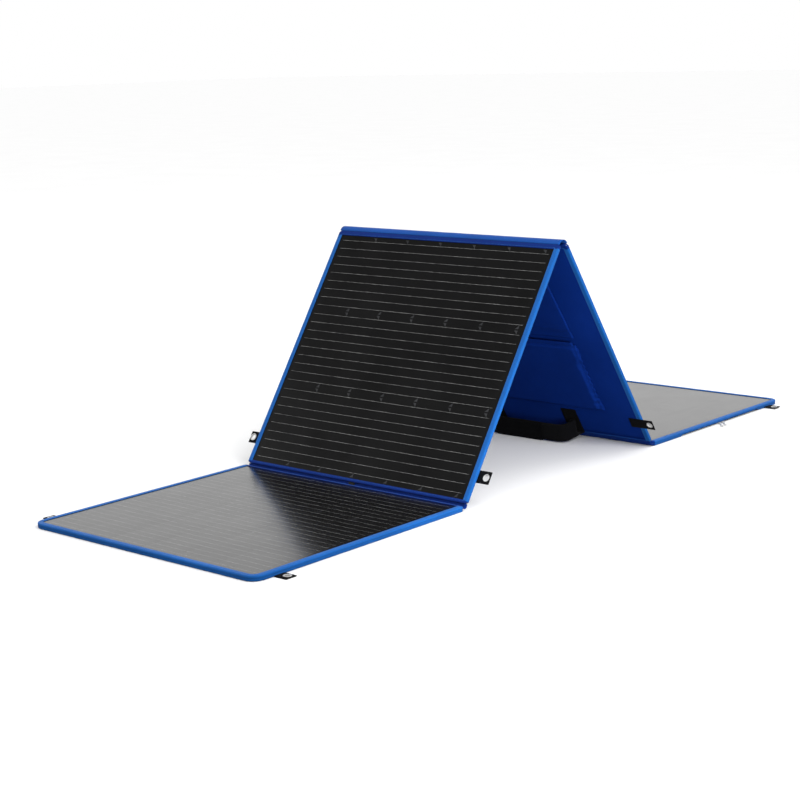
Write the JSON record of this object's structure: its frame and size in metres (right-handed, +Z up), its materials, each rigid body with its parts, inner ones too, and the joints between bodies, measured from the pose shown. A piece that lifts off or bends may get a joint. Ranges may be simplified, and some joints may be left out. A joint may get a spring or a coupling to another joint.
{
  "type": "folding solar panel",
  "caption": "Folding solar blanket of square panels with fabric folds, edge binding, eyelet tabs, a storage pouch, a prop board, a carry handle and a zipped pocket.",
  "frame": {"origin": "on the ground under the middle of the ridge, with the blanket standing as a tent", "axes": "+X runs along the folds, +Y from the front outer panel to the rear outer panel, +Z up"},
  "size_m": [0.609, 1.6664, 0.454],
  "materials": {
    "clear_film": "clear fluoropolymer film, satin gloss over the dark cells",
    "bus_wire": "tinned wire, bright",
    "cell": "textured black silicon",
    "backsheet": "black, smooth",
    "stiffener": "grey board, matt",
    "back_fabric": "navy coated polyester, fine weave",
    "edge_binding": "blue binding tape, slight sheen",
    "black_plastic": "moulded, matt",
    "webbing": "black ribbed webbing",
    "eyelet_metal": "nickel plated",
    "lead_jacket": "flat rubber lead",
    "zip_tape": "black zip tape and coil",
    "zip_metal": "nickel plated"
  },
  "bodies": {
    "front_outer_panel": {"front_outer_film": "clear_film", "front_outer_busbars": "bus_wire", "front_outer_cells": "cell", "front_outer_backsheet": "backsheet", "front_outer_board": "stiffener", "front_outer_cover": "back_fabric", "front_outer_binding": "edge_binding", "front_outer_diode_box": "black_plastic", "front_outer_tabs": "webbing", "front_outer_eyelets": "eyelet_metal"},
    "front_inner_panel": {"front_inner_film": "clear_film", "front_inner_busbars": "bus_wire", "front_inner_cells": "cell", "front_inner_backsheet": "backsheet", "front_inner_board": "stiffener", "front_inner_cover": "back_fabric", "front_inner_binding": "edge_binding", "front_inner_diode_box": "black_plastic", "front_inner_tabs": "webbing", "front_inner_eyelets": "eyelet_metal", "front_hinge_strip": "edge_binding", "ridge_hinge_strip": "edge_binding", "front_link_lead": "lead_jacket", "ridge_link_lead": "lead_jacket"},
    "rear_inner_panel": {"rear_inner_film": "clear_film", "rear_inner_busbars": "bus_wire", "rear_inner_cells": "cell", "rear_inner_backsheet": "backsheet", "rear_inner_board": "stiffener", "rear_inner_cover": "back_fabric", "rear_inner_binding": "edge_binding", "rear_inner_diode_box": "black_plastic", "rear_inner_tabs": "webbing", "rear_inner_eyelets": "eyelet_metal", "rear_hinge_strip": "edge_binding", "rear_link_lead": "lead_jacket", "pouch": "back_fabric", "output_box": "black_plastic", "prop_hinge_strip": "back_fabric", "handle_anchors": "webbing"},
    "rear_outer_panel": {"rear_outer_film": "clear_film", "rear_outer_busbars": "bus_wire", "rear_outer_cells": "cell", "rear_outer_backsheet": "backsheet", "rear_outer_board": "stiffener", "rear_outer_cover": "back_fabric", "rear_outer_binding": "edge_binding", "rear_outer_diode_box": "black_plastic", "rear_outer_tabs": "webbing", "rear_outer_eyelets": "eyelet_metal", "rear_pocket": "back_fabric", "zip_track": "zip_tape"},
    "prop": {"prop_board": "stiffener", "prop_cover": "back_fabric"},
    "handle": {"handle_webbing": "webbing", "handle_grip": "webbing"},
    "slider_near": {"zip_slider_near": "zip_metal"},
    "slider_far": {"zip_slider_far": "zip_metal"},
    "pull_near": {"zip_pull_near": "zip_metal"},
    "pull_far": {"zip_pull_far": "zip_metal"}
  },
  "joints": [
    {"name": "front_fold", "type": "hinge", "parent": "front_inner_panel", "child": "front_outer_panel", "pos_m": [0, -0.30719, 0.0104], "axis": [-1, 0, 0], "range_deg": [-56, 123.5], "deforming": ["front_hinge_strip", "front_link_lead"]},
    {"name": "ridge_fold", "type": "hinge", "parent": "front_inner_panel", "child": "rear_inner_panel", "pos_m": [0, 0, 0.44008], "axis": [-1, 0, 0], "range_deg": [-112, 68], "deforming": ["ridge_hinge_strip", "ridge_link_lead"]},
    {"name": "rear_fold", "type": "hinge", "parent": "rear_inner_panel", "child": "rear_outer_panel", "pos_m": [0, 0.30719, 0.0104], "axis": [1, 0, 0], "range_deg": [-56, 123.5], "deforming": ["rear_hinge_strip", "rear_link_lead"]},
    {"name": "prop_swing", "type": "hinge", "parent": "rear_inner_panel", "child": "prop", "pos_m": [0, 0.12882, 0.25678], "axis": [-1, 0, 0], "range_deg": [-78, 2]},
    {"name": "handle_swing", "type": "hinge", "parent": "rear_inner_panel", "child": "handle", "pos_m": [0, 0.29575, 0.01234], "axis": [1, 0, 0], "range_deg": [-8, 110], "deforming": ["handle_webbing", "handle_grip"]},
    {"name": "near_slider", "type": "slide", "parent": "rear_outer_panel", "child": "slider_near", "axis": [0, -1, 0], "range_m": [0, 0.14]},
    {"name": "far_slider", "type": "slide", "parent": "rear_outer_panel", "child": "slider_far", "axis": [0, 1, 0], "range_m": [0, 0.14]},
    {"name": "near_pull", "type": "hinge", "parent": "slider_near", "child": "pull_near", "pos_m": [0.2795, 0.57019, 0.001], "axis": [0, 0, 1], "range_deg": [-35, 0]},
    {"name": "far_pull", "type": "hinge", "parent": "slider_far", "child": "pull_far", "pos_m": [0.2795, 0.58419, 0.001], "axis": [0, 0, 1], "range_deg": [0, 130]}
  ]
}
